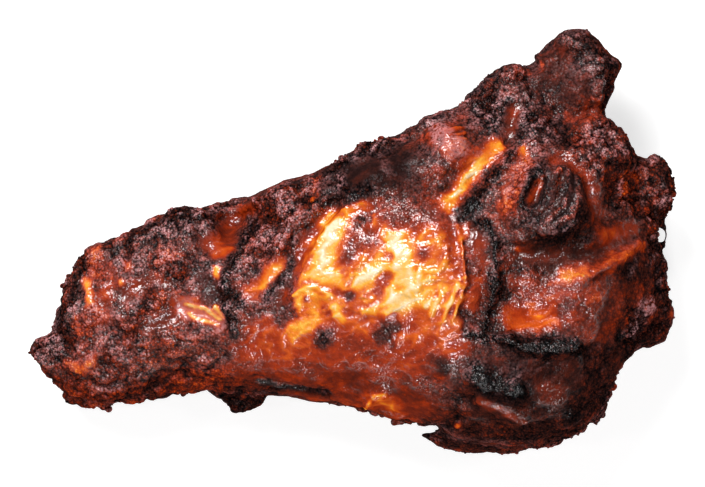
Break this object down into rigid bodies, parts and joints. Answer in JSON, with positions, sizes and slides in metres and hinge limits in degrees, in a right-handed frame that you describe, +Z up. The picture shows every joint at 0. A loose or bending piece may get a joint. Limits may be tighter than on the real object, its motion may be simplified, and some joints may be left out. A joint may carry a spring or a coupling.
{
  "type": "barbecued chicken wing drumette",
  "caption": "Barbecued chicken wing drumette lying on its side: a tapering piece with a knuckle end, a lumpy folded shoulder end and charred, glazed skin.",
  "frame": {"origin": "centre of the bounding box in plan, on the surface that the piece lies on", "axes": "+X from the knuckle end to the shoulder end, +Y to the back edge of the piece as it lies, +Z up"},
  "size_m": [0.0944, 0.0624, 0.0303],
  "materials": {
    "roasted_skin": "glossy browned skin with a rough charred crust",
    "charred_crust": "rough, glossy on its grains"
  },
  "bodies": {
    "root": {"wing": "roasted_skin"}
  },
  "joints": []
}
